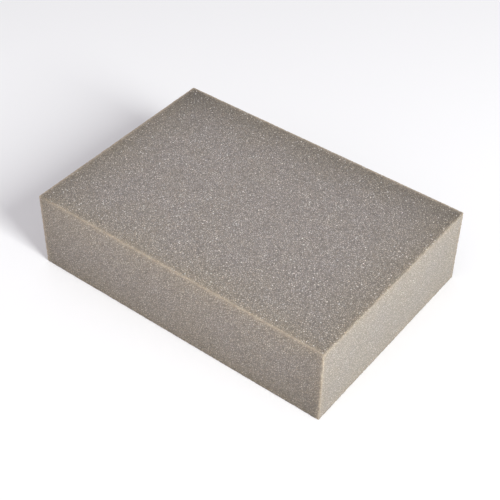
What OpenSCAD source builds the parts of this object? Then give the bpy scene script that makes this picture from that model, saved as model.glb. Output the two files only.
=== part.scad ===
// Foam block: one piece of open-cell polyurethane foam, cut from a larger bun by six straight cuts.
// Units are millimetres. The block stands on its largest face: +X runs along its length, +Y along its
// width and +Z up through its thickness. The origin is the middle of the face that it stands on.

/* [Block] */
// Length of the block, between its two end cuts
block_length = 200; // [60:1:500]
// Width of the block, between its two side cuts
block_width = 140; // [40:1:400]
// Thickness of the block, between its bottom and top cuts
block_thickness = 51; // [10:1:150]

/* [Edges] */
// Radius that the soft cell walls leave along an edge, where two cuts meet
edge_radius = 0.8; // [0.2:0.1:3]
// Number of segments that draw a full turn of an edge or a corner
edge_segments = 48; // [16:4:96]

/* [Hidden] */

BLOCK = [block_length, block_width, block_thickness];
BOTH_SIDES = [-1, 1];
// The turn that lays a rod, which is drawn along Z, along X, Y or Z
ALONG_AXIS = [[0, 90, 0], [90, 0, 0], [0, 0, 0]];

// One rod along each of the four edges that run along the given axis, 0 for X, 1 for Y and 2 for Z.
// core holds the distances between the centre lines of opposite rods.
module edge_rods(axis, core, radius) {
    across = [for (k = [0:2]) if (k != axis) k];
    for (a = BOTH_SIDES, b = BOTH_SIDES) {
        side = [for (k = [0:2]) k == across[0] ? a : k == across[1] ? b : 0];
        translate([for (k = [0:2]) side[k] * core[k] / 2])
            rotate(ALONG_AXIS[axis])
                cylinder(h = core[axis], r = radius, center = true);
    }
}

// One ball in each of the eight corners, where the rods of three edges meet.
module corner_balls(core, radius) {
    for (x = BOTH_SIDES, y = BOTH_SIDES, z = BOTH_SIDES)
        translate([x * core.x, y * core.y, z * core.z] / 2)
            sphere(r = radius);
}

// The slab that reaches both flat faces across the given axis and stops at the rods on the other two.
module face_slab(axis, size, core) {
    cube([for (k = [0:2]) k == axis ? size[k] : core[k]], center = true);
}

// A box with every edge and corner rounded to the same radius, centred on the origin.
module rounded_box(size, radius) {
    core = [for (length = size) length - 2 * radius];
    for (axis = [0:2]) {
        face_slab(axis, size, core);
        edge_rods(axis, core, radius);
    }
    corner_balls(core, radius);
}

// The whole block, one solid.
module foam_block() {
    color([0.60, 0.57, 0.54])
        translate([0, 0, block_thickness / 2])
            rounded_box(BLOCK, edge_radius, $fn = edge_segments);
}

foam_block();
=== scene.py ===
"""Looks of the foam block: one piece of soft grey open-cell foam, cut square on all six faces.

Lengths are in metres. +X runs along the block's length, +Y along its width and +Z up through its
thickness, and the origin is the middle of the face that the block stands on.
"""

import logging
import math
from dataclasses import dataclass, field
from enum import Enum
from typing import Any

import bpy
from mathutils import Matrix, Vector


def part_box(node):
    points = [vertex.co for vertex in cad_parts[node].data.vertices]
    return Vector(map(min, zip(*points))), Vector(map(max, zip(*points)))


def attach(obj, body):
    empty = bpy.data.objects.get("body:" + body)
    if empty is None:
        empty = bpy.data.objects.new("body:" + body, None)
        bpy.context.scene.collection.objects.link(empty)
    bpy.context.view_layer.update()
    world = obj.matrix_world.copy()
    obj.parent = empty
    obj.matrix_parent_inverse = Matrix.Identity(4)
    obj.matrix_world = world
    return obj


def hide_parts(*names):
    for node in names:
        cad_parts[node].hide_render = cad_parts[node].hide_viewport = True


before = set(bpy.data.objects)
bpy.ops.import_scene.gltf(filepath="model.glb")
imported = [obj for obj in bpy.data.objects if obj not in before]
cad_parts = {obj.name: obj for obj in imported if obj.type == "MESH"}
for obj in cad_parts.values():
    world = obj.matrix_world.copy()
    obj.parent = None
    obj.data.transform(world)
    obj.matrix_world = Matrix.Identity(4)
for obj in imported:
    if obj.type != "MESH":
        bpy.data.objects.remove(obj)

LOG = logging.getLogger("foam_block")
MM = 0.001
NOISE_SPREAD = (0.3, 0.7)  # where nearly all of a Noise node's values lie
ON_EDGE = 0.1 * MM  # how near an edge a grid line still counts as on it
Colour = tuple[float, float, float]
WHITE: Colour = (1.0, 1.0, 1.0)
MID_GREY: Colour = (0.5, 0.5, 0.5)  # the mean of the random colours that a cell pattern gives
INPUT_KINDS = {float: "NodeSocketFloat", int: "NodeSocketInt", bpy.types.Material: "NodeSocketMaterial"}


class Side(Enum):
    """The six cuts, each by its axis and the way that it faces."""

    LEFT_END = (0, -1)
    RIGHT_END = (0, 1)
    FRONT = (1, -1)
    BACK = (1, 1)
    BOTTOM = (2, -1)
    TOP = (2, 1)


class CellPart(Enum):
    """What a cell pattern measures, by the name that the Voronoi node gives it."""

    CENTRE = "F1"
    WALL = "DISTANCE_TO_EDGE"


class Wires:
    """Adds nodes to one tree and joins them, so that a formula reads in the order it is worked out."""

    def __init__(self, tree: bpy.types.NodeTree) -> None:
        """Takes the tree to add to.

        Args:
            tree: A shader or geometry node tree.
        """
        self.tree = tree

    def feed(self, socket: bpy.types.NodeSocket, value: Any) -> None:
        """Links a socket to another node's output, or sets it to a constant.

        Args:
            socket: The input socket.
            value: An output socket, or a number, vector, colour or material.
        """
        if isinstance(value, bpy.types.NodeSocket):
            self.tree.links.new(value, socket)
        else:
            socket.default_value = value

    def add(self, kind: str, inputs: dict[str, Any] | None = None, **settings: Any) -> bpy.types.Node:
        """Makes one node.

        Args:
            kind: The node's type name.
            inputs: Values or output sockets by the names of the node's inputs.
            **settings: The node's own settings.

        Returns:
            The new node.
        """
        node = self.tree.nodes.new(kind)
        for name, value in settings.items():
            setattr(node, name, value)
        for name, value in (inputs or {}).items():
            self.feed(node.inputs[name], value)
        return node

    def maths(self, operation: str, *values: Any) -> bpy.types.NodeSocket:
        """Works out one number.

        Args:
            operation: The Math node's operation.
            *values: Its inputs, in order.

        Returns:
            The result's socket.
        """
        node = self.add("ShaderNodeMath", operation=operation)
        for socket, value in zip(node.inputs, values):
            self.feed(socket, value)
        return node.outputs["Value"]

    def vector(self, operation: str, *values: Any) -> bpy.types.NodeSocket:
        """Works out one vector.

        Args:
            operation: The Vector Math node's operation, other than SCALE.
            *values: Its inputs, in order.

        Returns:
            The result's socket.
        """
        node = self.add("ShaderNodeVectorMath", operation=operation)
        for socket, value in zip(node.inputs, values):
            self.feed(socket, value)
        return node.outputs["Vector"]

    def dot(self, first: Any, second: Any) -> bpy.types.NodeSocket:
        """The dot product of two vectors."""
        node = self.add("ShaderNodeVectorMath", operation="DOT_PRODUCT")
        self.feed(node.inputs[0], first)
        self.feed(node.inputs[1], second)
        return node.outputs["Value"]

    def scaled(self, vector: Any, factor: Any) -> bpy.types.NodeSocket:
        """A vector times a number."""
        inputs = {"Vector": vector, "Scale": factor}
        return self.add("ShaderNodeVectorMath", inputs, operation="SCALE").outputs["Vector"]

    def joined(self, parts: dict[str, Any]) -> bpy.types.NodeSocket:
        """A vector from its parts, by the names of their axes."""
        return self.add("ShaderNodeCombineXYZ", parts).outputs["Vector"]

    def evenly(self, part: Any) -> bpy.types.NodeSocket:
        """A vector with the same number along all three axes."""
        return self.joined(dict.fromkeys("XYZ", part))

    def split(self, vector: Any) -> Any:
        """The three parts of a vector, in the order of their axes."""
        return self.add("ShaderNodeSeparateXYZ", {"Vector": vector}).outputs

    def ramp(self, value: Any, low: float, high: float, at_low: float = 0.0, at_high: float = 1.0,
             smooth: bool = True) -> bpy.types.NodeSocket:
        """Maps a range of a number onto another, clamped at both ends.

        Args:
            value: The number.
            low: Where the range starts.
            high: Where the range ends.
            at_low: The result at and below low.
            at_high: The result at and above high.
            smooth: Whether the ends ease in.

        Returns:
            The result's socket.
        """
        inputs = {"Value": value, "From Min": low, "From Max": high, "To Min": at_low, "To Max": at_high}
        kind = "SMOOTHSTEP" if smooth else "LINEAR"
        return self.add("ShaderNodeMapRange", inputs, interpolation_type=kind).outputs["Result"]

    def fade(self, gap: Any, reach: float) -> bpy.types.NodeSocket:
        """Falls off from 1 as a gap widens.

        Args:
            gap: The gap, in metres.
            reach: The gap at which about a third is left.

        Returns:
            The share that is left.
        """
        return self.maths("EXPONENT", self.maths("DIVIDE", gap, -reach))

    def noise(self, place: Any, feature: float, low: float, high: float,
              detail: float = 2.0) -> bpy.types.NodeSocket:
        """A smooth random field between two values.

        Args:
            place: The coordinates.
            feature: The size of its largest features, in metres.
            low: Its lowest value.
            high: Its highest value.
            detail: How many finer layers it has.

        Returns:
            The field's socket.
        """
        inputs = {"Vector": place, "Scale": 1 / feature, "Detail": detail}
        raw = self.add("ShaderNodeTexNoise", inputs).outputs["Fac"]
        return self.ramp(raw, *NOISE_SPREAD, low, high)

    def cells(self, place: Any, pitch: float, part: CellPart = CellPart.CENTRE) -> bpy.types.Node:
        """A pattern of irregular cells.

        Args:
            place: The coordinates.
            pitch: The mean width of a cell, in metres.
            part: What its Distance output measures from.

        Returns:
            The Voronoi node.
        """
        inputs = {"Vector": place, "Scale": 1 / pitch, "Randomness": 1.0}
        return self.add("ShaderNodeTexVoronoi", inputs, feature=part.value)

    def blend(self, factor: Any, first: Any, second: Any, kind: str = "MIX") -> bpy.types.NodeSocket:
        """Mixes two colours.

        Args:
            factor: How much of the second shows.
            first: The first colour.
            second: The second colour.
            kind: The Mix node's blend type.

        Returns:
            The mixed colour's socket.
        """
        node = self.add("ShaderNodeMix", data_type="RGBA", blend_type=kind, clamp_factor=True)
        colour_inputs = [s for s in node.inputs if s.type == "RGBA"]
        self.feed(node.inputs["Factor"], factor)
        for socket, value in zip(colour_inputs, (first, second)):
            self.feed(socket, value if isinstance(value, bpy.types.NodeSocket) else (*value, 1.0))
        return next(s for s in node.outputs if s.type == "RGBA")


@dataclass(frozen=True)
class Cut:
    """How one cut looks: how boldly its cells and glints show, how evenly it has tanned, and lean, a painted
    tint for the light that falls on it.
    """

    grain: float
    glints: float
    evenness: float = 0.0
    lean: Colour = WHITE


@dataclass(frozen=True)
class PaintedShade:
    """How much painted shade darkens one cut towards another, where below 0 it is painted light that
    lightens it, and by which third cut.
    """

    cut: Side
    towards: Side
    strength: float
    reach: float = 18 * MM
    beside: Side | None = None


@dataclass(frozen=True)
class GlowLine:
    """How clearly the pale line of painted glow shows where two cuts meet, and the end that it dims towards,
    where less light reaches it.
    """

    cuts: tuple[Side, Side]
    share: float
    dimmed_end: Side | None = None


@dataclass(frozen=True)
class FoamFinish:
    """Grey polyurethane foam, cut through its open cells.

    cell_shade is the foam's brightness at the rim of a cell and in its middle. cell_wall and glint_reach are
    shares of a cell's width, and cell_turn is in radians.
    """

    name: str = "cut_foam"
    grey: Colour = (0.332, 0.295, 0.28)
    tan: Colour = (0.336, 0.293, 0.252)
    brown: Colour = (0.331, 0.269, 0.207)
    # line is the colour of the painted glow where light comes through the thin foam at an edge.
    line: Colour = (0.468, 0.39, 0.313)
    glint: Colour = (0.95, 0.885, 0.84)
    facet: float = 0.55 * MM
    facet_tilt: float = 0.45
    cell: float = 1.0 * MM
    cell_wall: float = 0.6
    cell_shade: tuple[float, float] = (0.672, 2.27)
    cell_turn: tuple[float, float, float] = (0.61, 0.47, 0.35)
    glint_pitch: float = 1.3 * MM
    glint_rarity: float = 6.0
    glint_reach: tuple[float, float] = (0.165, 0.35)
    # How boldly cells and glints show on each cut is partly painted shade and highlight: bolder on the top,
    # where the lamp grazes it, and fainter on the right end, which faces the lamp.
    cuts: dict[Side, Cut] = field(default_factory=lambda: {
        Side.LEFT_END: Cut(0.8, 0.5),
        Side.RIGHT_END: Cut(0.7, 0.5, 0.8, (0.925, 0.941, 0.917)),
        Side.FRONT: Cut(0.96, 0.3, 0.5, (1.015, 1.011, 0.965)),
        Side.BACK: Cut(0.85, 0.5),
        Side.BOTTOM: Cut(0.9, 0.8),
        Side.TOP: Cut(1.0, 1.0, lean=(1.003, 1.005, 0.992)),
    })
    cut_reach: tuple[float, float] = (0.6 * MM, 1.2 * MM)
    roughness: float = 0.85
    specular: float = 0.3
    scatter: float = 1.0 * MM
    scatter_share: float = 0.35
    scatter_radii: Colour = (1.0, 0.8, 0.6)
    tan_reach: float = 17 * MM
    tan_level: float = 0.5
    brown_reach: float = 3 * MM
    brown_share: float = 0.5
    mottle_size: float = 25 * MM
    mottle: float = 0.15
    line_width: float = 0.7 * MM
    line_blur: float = 0.8 * MM
    line_patch: float = 3 * MM
    line_patchiness: tuple[float, float] = (0.7, 1.2)
    # These dim a line's painted glow towards the end that the lamp lights least.
    end_dimming: float = 0.75
    dimming_reach: float = 13 * MM
    # Each line is a painted glow along an edge; share is how clearly it shows.
    lines: tuple[GlowLine, ...] = (
        GlowLine((Side.TOP, Side.FRONT), 0.65, Side.LEFT_END),
        GlowLine((Side.TOP, Side.RIGHT_END), 0.27),
        GlowLine((Side.TOP, Side.BACK), 0.9),
        GlowLine((Side.TOP, Side.LEFT_END), 0.95),
        GlowLine((Side.FRONT, Side.LEFT_END), 1.0),
        GlowLine((Side.FRONT, Side.RIGHT_END), 0.5),
        GlowLine((Side.BACK, Side.LEFT_END), 0.8),
        GlowLine((Side.BACK, Side.RIGHT_END), 0.44),
    )
    # Painted shade that darkens cuts towards some of their edges and towards the foot, and painted light
    # where a strength is below 0.
    painted_shades: tuple[PaintedShade, ...] = (
        PaintedShade(Side.TOP, Side.LEFT_END, 0.28),
        PaintedShade(Side.TOP, Side.RIGHT_END, 0.13),
        PaintedShade(Side.TOP, Side.FRONT, 0.03),
        PaintedShade(Side.TOP, Side.BACK, 0.41),
        PaintedShade(Side.TOP, Side.BACK, -0.18, 3 * MM),
        PaintedShade(Side.FRONT, Side.LEFT_END, 0.1),
        PaintedShade(Side.FRONT, Side.RIGHT_END, 0.19),
        PaintedShade(Side.FRONT, Side.RIGHT_END, -0.13, 3 * MM),
        PaintedShade(Side.FRONT, Side.BOTTOM, 0.21),
        PaintedShade(Side.FRONT, Side.TOP, -0.18),
        PaintedShade(Side.FRONT, Side.TOP, 0.18, 14 * MM, Side.LEFT_END),
        PaintedShade(Side.RIGHT_END, Side.FRONT, -0.04),
        PaintedShade(Side.RIGHT_END, Side.BACK, 0.03),
        PaintedShade(Side.RIGHT_END, Side.BOTTOM, 0.02),
        PaintedShade(Side.RIGHT_END, Side.TOP, -0.15),
        PaintedShade(Side.BACK, Side.LEFT_END, 0.12),
        PaintedShade(Side.BACK, Side.RIGHT_END, 0.12),
        PaintedShade(Side.BACK, Side.BOTTOM, 0.15),
        PaintedShade(Side.LEFT_END, Side.BACK, 0.12),
        PaintedShade(Side.LEFT_END, Side.BOTTOM, 0.15),
    )

    def build(self, low: Vector, high: Vector) -> bpy.types.Material:
        """Makes the material for a block that fills a box.

        Args:
            low: The box's lowest corner.
            high: The box's highest corner.

        Returns:
            The material.
        """
        material = bpy.data.materials.new(self.name)
        material.use_nodes = True
        material.node_tree.nodes.clear()
        wires = Wires(material.node_tree)
        place = wires.add("ShaderNodeTexCoord").outputs["Object"]
        shader = wires.add("ShaderNodeBsdfPrincipled", {
            "Base Color": self._colour(wires, place, low, high),
            "Roughness": self.roughness,
            "Normal": self._normal(wires, place),
            "Subsurface Weight": self.scatter_share,
            "Subsurface Radius": self.scatter_radii,
            "Subsurface Scale": self.scatter,
            "Specular IOR Level": self.specular,
        })
        wires.add("ShaderNodeOutputMaterial", {"Surface": shader.outputs["BSDF"]})
        return material

    def _colour(self, wires: Wires, place: bpy.types.NodeSocket, low: Vector,
                high: Vector) -> bpy.types.NodeSocket:
        """The foam's colour, with its cells, glints and mottling, the painted glow along its edges and
        painted shade and light near them.

        Args:
            wires: The material's tree.
            place: Object coordinates.
            low: The block's lowest corner.
            high: The block's highest corner.

        Returns:
            The colour's socket.
        """
        gaps = self._gaps(wires, place, low, high)
        shares = {side: wires.ramp(gap, *self.cut_reach, 1.0, 0.0) for side, gap in gaps.items()}
        edge_gap = self._edge_gap(wires, gaps)
        # The pale line is painted glow along the edges.
        line = self._glow_line(wires, place, gaps)
        plain = wires.maths("SUBTRACT", 1.0, line)
        colour = wires.blend(line, self._foam(wires, place, edge_gap, shares), self.line)
        grain = self._by_cut(wires, shares, {side: cut.grain for side, cut in self.cuts.items()})
        grain = wires.maths("MULTIPLY", self._cells(wires, place), wires.maths("MULTIPLY", grain, plain))
        # The painted shade and light near the edges, kept off the pale line.
        painted_shading = wires.maths("MULTIPLY", self._painted_shade(wires, gaps, shares), plain)
        shade = wires.maths("MULTIPLY", wires.maths("ADD", grain, 1.0), wires.maths("SUBTRACT", 1.0, painted_shading))
        glints = self._by_cut(wires, shares, {side: cut.glints for side, cut in self.cuts.items()})
        glints = wires.maths("MULTIPLY", self._glints(wires, place), wires.maths("MULTIPLY", glints, plain))
        return wires.blend(glints, wires.scaled(colour, shade), self.glint)

    def _by_cut(self, wires: Wires, shares: dict[Side, bpy.types.NodeSocket],
                values: dict[Side, float]) -> bpy.types.NodeSocket:
        """A number that differs from cut to cut.

        Args:
            wires: The material's tree.
            shares: How far each point belongs to each cut.
            values: The number on each cut.

        Returns:
            The number's socket.
        """
        total: Any = 0.0
        for side, value in values.items():
            total = wires.maths("MAXIMUM", total, wires.maths("MULTIPLY", shares[side], value))
        return total

    def _foam(self, wires: Wires, place: bpy.types.NodeSocket, edge_gap: bpy.types.NodeSocket,
              shares: dict[Side, bpy.types.NodeSocket]) -> bpy.types.NodeSocket:
        """The foam's colour: grey, browner towards its edges, and tinted on each cut by its lean, which is
        painted light.

        Args:
            wires: The material's tree.
            place: Object coordinates.
            edge_gap: The distance to the nearest edge.
            shares: How far each point belongs to each cut.

        Returns:
            The colour's socket.
        """
        tanned = wires.fade(edge_gap, self.tan_reach)
        evenness = self._by_cut(wires, shares, {side: cut.evenness for side, cut in self.cuts.items()})
        off_level = wires.maths("SUBTRACT", self.tan_level, tanned)
        tanned = wires.maths("MULTIPLY_ADD", off_level, evenness, tanned)
        mottle = wires.noise(place, self.mottle_size, -self.mottle, self.mottle)
        browned = wires.maths("MULTIPLY", wires.fade(edge_gap, self.brown_reach), self.brown_share)
        colour = wires.blend(wires.maths("ADD", tanned, mottle), self.grey, self.tan)
        colour = wires.blend(browned, colour, self.brown)
        # Each cut's lean paints in the tint of the light that falls on it.
        for side, cut in self.cuts.items():
            colour = wires.blend(shares[side], colour, cut.lean, "MULTIPLY")
        return colour

    def _cells(self, wires: Wires, place: bpy.types.NodeSocket) -> bpy.types.NodeSocket:
        """How far each cut cell lightens or darkens the foam, about 0.

        Args:
            wires: The material's tree.
            place: Object coordinates.

        Returns:
            The swing's socket.
        """
        # Turned, so that no cut lies along the pattern's own grid.
        turned = wires.add("ShaderNodeVectorRotate", {"Vector": place, "Rotation": self.cell_turn},
                           rotation_type="EULER_XYZ").outputs["Vector"]
        walls = wires.cells(turned, self.cell, CellPart.WALL).outputs["Distance"]
        return wires.ramp(walls, 0.0, self.cell_wall, *(shade - 1.0 for shade in self.cell_shade))

    def _glints(self, wires: Wires, place: bpy.types.NodeSocket) -> bpy.types.NodeSocket:
        """How much each point glints, where a cell's thin window has caught the light.

        Args:
            wires: The material's tree.
            place: Object coordinates.

        Returns:
            The glints' socket, from 0 to 1.
        """
        windows = wires.cells(place, self.glint_pitch)
        chance = wires.add("ShaderNodeSeparateColor", {"Color": windows.outputs["Color"]}).outputs["Green"]
        near = wires.ramp(windows.outputs["Distance"], *self.glint_reach, 1.0, 0.0)
        return wires.maths("MULTIPLY", wires.maths("POWER", chance, self.glint_rarity), near)

    def _glow_line(self, wires: Wires, place: bpy.types.NodeSocket,
              gaps: dict[Side, bpy.types.NodeSocket]) -> bpy.types.NodeSocket:
        """How much of the pale line of painted glow along the edges shows, from 0 to 1.

        Args:
            wires: The material's tree.
            place: Object coordinates.
            gaps: The distance to each cut.

        Returns:
            The line's socket.
        """
        patch = wires.noise(place, self.line_patch, *self.line_patchiness)
        width = wires.maths("MULTIPLY", patch, self.line_width)
        total: Any = 0.0
        for line in self.lines:
            gap = wires.maths("MAXIMUM", *(gaps[side] for side in line.cuts))
            outside = wires.maths("MAXIMUM", wires.maths("SUBTRACT", gap, width), 0.0)
            share = wires.maths("MULTIPLY", wires.fade(outside, self.line_blur), line.share)
            if line.dimmed_end:
                dimmed_end = wires.maths("MULTIPLY", wires.fade(gaps[line.dimmed_end], self.dimming_reach), self.end_dimming)
                share = wires.maths("MULTIPLY", share, wires.maths("SUBTRACT", 1.0, dimmed_end))
            total = wires.maths("MAXIMUM", total, share)
        return total

    def _normal(self, wires: Wires, place: bpy.types.NodeSocket) -> bpy.types.NodeSocket:
        """The way that each cut facet faces, tilted at random from the block's face.

        Args:
            wires: The material's tree.
            place: Object coordinates.

        Returns:
            The normal's socket.
        """
        facets = wires.cells(place, self.facet)
        swing = wires.vector("SUBTRACT", facets.outputs["Color"], MID_GREY)
        facing = wires.add("ShaderNodeNewGeometry").outputs["Normal"]
        return wires.vector("NORMALIZE", wires.vector("ADD", facing, wires.scaled(swing, self.facet_tilt)))

    def _gaps(self, wires: Wires, place: bpy.types.NodeSocket, low: Vector,
              high: Vector) -> dict[Side, bpy.types.NodeSocket]:
        """How far each point lies from each of the six cuts.

        Args:
            wires: The material's tree.
            place: Object coordinates.
            low: The block's lowest corner.
            high: The block's highest corner.

        Returns:
            A distance socket for each side.
        """
        parts = wires.split(place)
        gaps = {}
        for side in Side:
            axis, way = side.value
            if way < 0:
                gap = wires.maths("SUBTRACT", parts[axis], low[axis])
            else:
                gap = wires.maths("SUBTRACT", high[axis], parts[axis])
            gaps[side] = wires.maths("MAXIMUM", gap, 0.0)
        return gaps

    def _edge_gap(self, wires: Wires, gaps: dict[Side, bpy.types.NodeSocket]) -> bpy.types.NodeSocket:
        """How far each point lies from the nearest edge of the block.

        Args:
            wires: The material's tree.
            gaps: The distance to each cut.

        Returns:
            The distance's socket.
        """
        x, y, z = (
            wires.maths("MINIMUM", *(gap for side, gap in gaps.items() if side.value[0] == axis))
            for axis in range(3)
        )
        nearest = wires.maths("MINIMUM", wires.maths("MAXIMUM", x, y), wires.maths("MAXIMUM", y, z))
        return wires.maths("MINIMUM", nearest, wires.maths("MAXIMUM", x, z))

    def _painted_shade(self, wires: Wires, gaps: dict[Side, bpy.types.NodeSocket],
              shares: dict[Side, bpy.types.NodeSocket]) -> bpy.types.NodeSocket:
        """How much painted shade darkens the foam towards some of its edges, from 0, with painted light
        where it is below 0.

        Args:
            wires: The material's tree.
            gaps: The distance to each cut.
            shares: How far each point belongs to each cut.

        Returns:
            The darkening's socket.
        """
        total: Any = 0.0
        for painted_shading in self.painted_shades:
            here = wires.maths("MULTIPLY", shares[painted_shading.cut], painted_shading.strength)
            fade = wires.fade(gaps[painted_shading.towards], painted_shading.reach)
            if painted_shading.beside:
                fade = wires.maths("MULTIPLY", fade, wires.fade(gaps[painted_shading.beside], painted_shading.reach))
            total = wires.maths("MULTIPLY_ADD", fade, here, total)
        return total


@dataclass
class FoamBlock:
    """The block itself: one closed skin over the whole solid, rough with cut cells.

    slide is a share of the pitch, and a higher pit_bias makes deep pits rarer.
    """

    low: Vector
    high: Vector
    finish: FoamFinish
    name: str = "open_cell_foam"
    node: str = "foam_block"
    slot: str = "grey_foam"
    edge_radius: float = 0.5 * MM
    pitch: float = 0.957 * MM
    cell_depth: float = 0.3 * MM
    pit_bias: float = 1.5
    waviness: float = 0.06 * MM
    wave_size: float = 45 * MM
    slide: float = 0.3
    edge_pull: float = 0.6 * MM
    pull_reach: float = 4 * MM
    seed: int = 7

    def build(self) -> bpy.types.Object:
        """Makes the skin and gives it the foam's finish.

        Returns:
            The piece, as a plain mesh at the origin.
        """
        inputs = self._inputs()
        tree, sockets = self._tree(inputs)
        piece = bpy.data.objects.new(self.name, bpy.data.meshes.new(self.name))
        bpy.context.scene.collection.objects.link(piece)
        modifier = piece.modifiers.new(tree.name, "NODES")
        modifier.node_group = tree
        for name, value in inputs.items():
            modifier[sockets[name]] = value
        graph = bpy.context.evaluated_depsgraph_get()
        mesh = bpy.data.meshes.new_from_object(piece.evaluated_get(graph), depsgraph=graph)
        piece.modifiers.remove(modifier)
        # The tree's mesh starts with an empty slot, ahead of the foam's.
        if mesh.materials[0] is None:
            mesh.materials.pop(index=0)
        piece.data = mesh
        mesh.name = self.name
        LOG.info("%s: %d vertices, %d faces", self.name, len(mesh.vertices), len(mesh.polygons))
        return piece

    def declare(self, piece: bpy.types.Object) -> None:
        """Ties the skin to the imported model.

        Args:
            piece: The finished skin.
        """
        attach(piece, "root")
        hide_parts(self.node)

    def _inputs(self) -> dict[str, Any]:
        """Gathers what the node tree is given.

        Returns:
            The block's sizes, the seed and the foam's material, by the names of the tree's inputs.
        """
        length, width, thickness = self.high - self.low
        return {
            "Length": length,
            "Width": width,
            "Thickness": thickness,
            "Foot": self.low.z,
            "Edge Radius": self.edge_radius,
            "Cell Pitch": self.pitch,
            "Cell Depth": self.cell_depth,
            "Pit Bias": self.pit_bias,
            "Waviness": self.waviness,
            "Wave Size": self.wave_size,
            "Slide": self.slide,
            "Edge Pull": self.edge_pull,
            "Pull Reach": self.pull_reach,
            "Seed": self.seed,
            "Foam": self.finish.build(self.low, self.high),
        }

    def _tree(self, inputs: dict[str, Any]) -> tuple[bpy.types.NodeTree, dict[str, str]]:
        """Builds the node tree that cuts the block.

        Args:
            inputs: What the tree will be given, by name.

        Returns:
            The tree, and each named input's identifier.
        """
        tree = bpy.data.node_groups.new("cut_foam", "GeometryNodeTree")
        tree.interface.new_socket("Geometry", in_out="OUTPUT", socket_type="NodeSocketGeometry")
        sockets = {}
        for name, value in inputs.items():
            socket = tree.interface.new_socket(name, in_out="INPUT", socket_type=INPUT_KINDS[type(value)])
            sockets[name] = socket.identifier
        wires = Wires(tree)
        given = wires.add("NodeGroupInput").outputs
        size = wires.joined({"X": given["Length"], "Y": given["Width"], "Z": given["Thickness"]})
        counts = {
            f"Vertices {axis}": wires.maths(
                "ADD", wires.maths("CEIL", wires.maths("DIVIDE", given[length], given["Cell Pitch"])), 1.0)
            for axis, length in zip("XYZ", ("Length", "Width", "Thickness"))
        }
        block = wires.add("GeometryNodeMeshCube", {"Size": size, **counts}).outputs["Mesh"]
        block = wires.add("GeometryNodeSetPosition", {
            "Geometry": block, "Position": self._skin_place(wires, given, size)}).outputs["Geometry"]
        block = wires.add("GeometryNodeTriangulate", {"Mesh": block},
                          quad_method="SHORTEST_DIAGONAL").outputs["Mesh"]
        block = wires.add("GeometryNodeSetShadeSmooth", {"Geometry": block}).outputs["Geometry"]
        block = wires.add("GeometryNodeRealizeInstances", {"Geometry": block}).outputs["Geometry"]
        block = wires.add("GeometryNodeSetMaterial", {
            "Geometry": block, "Material": given["Foam"]}).outputs["Geometry"]
        wires.add("NodeGroupOutput", {"Geometry": block})
        return tree, sockets

    def _skin_place(self, wires: Wires, given: Any, size: bpy.types.NodeSocket) -> bpy.types.NodeSocket:
        """Works out where each point of the skin lies.

        Args:
            wires: The tree.
            given: The tree's inputs.
            size: The block's three sizes as a vector.

        Returns:
            The place's socket.
        """
        start = self._drawn_to_edges(wires, given, size)
        radius = given["Edge Radius"]
        core = wires.vector("SUBTRACT", wires.scaled(size, 0.5), wires.evenly(radius))
        inner = wires.vector("MAXIMUM", wires.vector("MINIMUM", start, core), wires.scaled(core, -1.0))
        outward = wires.vector("NORMALIZE", wires.vector("SUBTRACT", start, inner))
        pit = self._random(wires, given["Seed"], 0)
        pit = wires.maths("MULTIPLY", wires.maths("POWER", pit, given["Pit Bias"]), given["Cell Depth"])
        waves = wires.vector("DIVIDE", start, wires.evenly(given["Wave Size"]))
        wave = wires.maths("MULTIPLY", wires.noise(waves, 1.0, 0.0, 1.0), given["Waviness"])
        depth = wires.maths("ADD", pit, wave)
        # 1 along each axis on which the point may slide without leaving its cut, and 0 along the others.
        free = wires.vector("MAXIMUM", wires.vector("SIGN", wires.vector(
            "SUBTRACT", core, wires.vector("ABSOLUTE", start))), (0.0, 0.0, 0.0))
        # Each random number from 0 to 1 becomes a swing from -1 to 1.
        swing = wires.joined({
            axis: wires.maths("MULTIPLY_ADD", self._random(wires, given["Seed"], step), 2.0, -1.0)
            for step, axis in enumerate("XYZ", start=1)
        })
        reach = wires.maths("MULTIPLY", given["Slide"], given["Cell Pitch"])
        place = wires.vector("ADD", inner, wires.scaled(outward, wires.maths("SUBTRACT", radius, depth)))
        place = wires.vector("ADD", place, wires.scaled(wires.vector("MULTIPLY", swing, free), reach))
        rise = wires.maths("ADD", wires.maths("MULTIPLY", given["Thickness"], 0.5), given["Foot"])
        return wires.vector("ADD", place, wires.joined({"Z": rise}))

    def _drawn_to_edges(self, wires: Wires, given: Any, size: bpy.types.NodeSocket) -> bpy.types.NodeSocket:
        """Draws the grid's lines towards the block's edges, whose radius is smaller than the grid's pitch.

        Args:
            wires: The tree.
            given: The tree's inputs.
            size: The block's three sizes as a vector.

        Returns:
            Where each point lies on the plain box.
        """
        place = wires.add("GeometryNodeInputPosition").outputs["Position"]
        half = wires.split(wires.scaled(size, 0.5))
        parts = wires.split(place)
        drawn = {}
        for axis, part, reach in zip("XYZ", parts, half):
            gap = wires.maths("SUBTRACT", reach, wires.maths("ABSOLUTE", part))
            off_edge = wires.maths("GREATER_THAN", gap, ON_EDGE)
            start = wires.maths("SUBTRACT", gap, given["Cell Pitch"])
            fade = wires.maths("EXPONENT", wires.maths(
                "MULTIPLY", -1.0, wires.maths("DIVIDE", start, given["Pull Reach"])))
            pull = wires.maths("MULTIPLY", wires.maths("MULTIPLY", fade, off_edge), given["Edge Pull"])
            drawn[axis] = wires.maths("MULTIPLY_ADD", wires.maths("SIGN", part), pull, part)
        return wires.joined(drawn)

    def _random(self, wires: Wires, seed: Any, step: int) -> bpy.types.NodeSocket:
        """A number from 0 to 1 for each point.

        Args:
            wires: The tree.
            seed: The tree's seed.
            step: Which of the point's numbers this is.

        Returns:
            The number's socket.
        """
        node = wires.add("FunctionNodeRandomValue", data_type="FLOAT")
        wires.feed(node.inputs["Seed"], wires.maths("ADD", seed, float(step)))
        return next(s for s in node.outputs if s.enabled)


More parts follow.
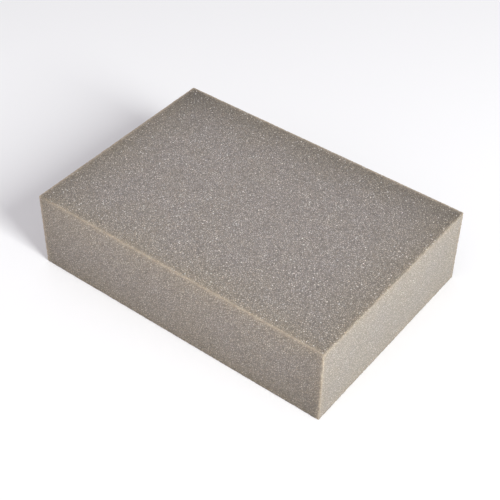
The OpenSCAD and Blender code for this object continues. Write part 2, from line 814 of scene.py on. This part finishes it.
@dataclass
class Studio:
    """The camera, the floor and the light round the block.

    Angles are in degrees and the lens is in millimetres. The sky grows brighter towards +X, +Y and +Z by the
    shares in sky_lean. The floor grows darker by fall_depth along the way that fall_turn points, between
    fall_start and fall_end from the middle of the block, and floor_lift is a glow that only the camera sees.
    """

    middle: Vector
    azimuth: float = 36.765
    elevation: float = 42.486
    roll: float = 1.101
    distance: float = 0.6763
    aim: tuple[float, float, float] = (6.87 * MM, -8.75 * MM, 0.0)
    lens: float = 83.86
    key_turn: float = -10.5
    key_rise: float = 31.3
    key_distance: float = 2.7
    key_size: tuple[float, float] = (0.8, 1.42)
    key_level: float = 1.03
    key_colour: Colour = (0.97, 1.0, 0.97)
    sky_level: float = 0.50
    sky_colour: Colour = (1.02, 1.0, 1.03)
    sky_lean: tuple[float, float, float] = (-0.35, -0.42, 0.15)
    floor_radius: float = 6.0
    floor_corners: int = 96
    floor_paint: Colour = (0.937, 0.928, 0.949)
    floor_lift: float = 0.055
    fall_turn: float = 129.3
    fall_start: float = -0.011
    fall_end: float = 0.33
    fall_depth: float = 0.091

    def build(self) -> None:
        """Makes everything round the block."""
        self._camera()
        self._key()
        self._sky()
        self._floor()

    def _camera(self) -> None:
        """Puts the camera where it sees the top, the front and the right end."""
        azimuth, elevation = math.radians(self.azimuth), math.radians(self.elevation)
        flat = math.cos(elevation)
        forward = Vector((-math.sin(azimuth) * flat, math.cos(azimuth) * flat, -math.sin(elevation)))
        right = Vector((math.cos(azimuth), math.sin(azimuth), 0.0))
        turn = Matrix((right, right.cross(forward), -forward)).transposed().to_4x4()
        data = bpy.data.cameras.new("camera")
        data.lens = self.lens
        camera = bpy.data.objects.new("camera", data)
        place = self.middle + Vector(self.aim) - forward * self.distance
        camera.matrix_world = (
            Matrix.Translation(place) @ turn @ Matrix.Rotation(math.radians(self.roll), 4, "Z"))
        bpy.context.scene.collection.objects.link(camera)
        bpy.context.scene.camera = camera

    def _key(self) -> None:
        """Hangs one soft lamp to the right of the block."""
        turn, rise = math.radians(self.key_turn), math.radians(self.key_rise)
        way = Vector((math.cos(turn) * math.cos(rise), math.sin(turn) * math.cos(rise), math.sin(rise)))
        data = bpy.data.lights.new("key", "AREA")
        data.shape = "RECTANGLE"
        data.size, data.size_y = self.key_size
        # At this power, a white surface that faces the lamp renders at about key_level.
        data.energy = self.key_level * (math.pi * self.key_distance) ** 2
        data.color = self.key_colour
        lamp = bpy.data.objects.new("key", data)
        lamp.location = self.middle + way * self.key_distance
        lamp.rotation_euler = way.to_track_quat("Z", "Y").to_euler()
        bpy.context.scene.collection.objects.link(lamp)

    def _sky(self) -> None:
        """Fills in from all round, and shows white behind the floor."""
        world = bpy.data.worlds.new("sky")
        bpy.context.scene.world = world
        world.use_nodes = True
        world.node_tree.nodes.clear()
        wires = Wires(world.node_tree)
        seen = wires.add("ShaderNodeLightPath").outputs["Is Camera Ray"]
        way = wires.add("ShaderNodeTexCoord").outputs["Generated"]
        lean = wires.dot(way, self.sky_lean)
        level = wires.maths("MULTIPLY_ADD", lean, self.sky_level, self.sky_level)
        level = wires.maths("MAXIMUM", level, seen)
        colour = wires.blend(seen, self.sky_colour, WHITE)
        light = wires.add("ShaderNodeBackground", {"Strength": level, "Color": colour})
        wires.add("ShaderNodeOutputWorld", {"Surface": light.outputs["Background"]})

    def _floor(self) -> None:
        """Lays a round white floor under the block."""
        bpy.ops.mesh.primitive_circle_add(
            vertices=self.floor_corners, radius=self.floor_radius, fill_type="NGON")
        floor = bpy.context.object
        floor.name = "floor"
        material = bpy.data.materials.new("floor")
        material.use_nodes = True
        material.node_tree.nodes.clear()
        wires = Wires(material.node_tree)
        turn = math.radians(self.fall_turn)
        place = wires.add("ShaderNodeTexCoord").outputs["Object"]
        along = wires.dot(place, (math.cos(turn), math.sin(turn), 0.0))
        # fall is painted shade: the floor darkens the way the lamp's light falls off across it.
        fall = wires.ramp(along, self.fall_start, self.fall_end,
                          1.0, 1.0 - self.fall_depth, smooth=False)
        paint = wires.add("ShaderNodeBsdfDiffuse", {
            "Color": wires.scaled(self.floor_paint, fall)}).outputs["BSDF"]
        seen = wires.add("ShaderNodeLightPath").outputs["Is Camera Ray"]
        lift = wires.add("ShaderNodeEmission", {
            "Strength": wires.maths("MULTIPLY", wires.maths("MULTIPLY", seen, fall), self.floor_lift),
        }).outputs["Emission"]
        both = wires.add("ShaderNodeAddShader")
        wires.feed(both.inputs[0], paint)
        wires.feed(both.inputs[1], lift)
        wires.add("ShaderNodeOutputMaterial", {"Surface": both.outputs["Shader"]})
        floor.data.materials.append(material)


def main() -> None:
    """Builds the studio and the block."""
    logging.basicConfig(level=logging.INFO, format="%(name)s %(message)s")
    bpy.context.scene.view_settings.view_transform = "Standard"
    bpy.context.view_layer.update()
    low, high = (Vector(corner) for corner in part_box("foam_block"))
    Studio(middle=(low + high) / 2).build()
    block = FoamBlock(low=low, high=high, finish=FoamFinish())
    block.declare(block.build())


if __name__ == "__main__":
    main()
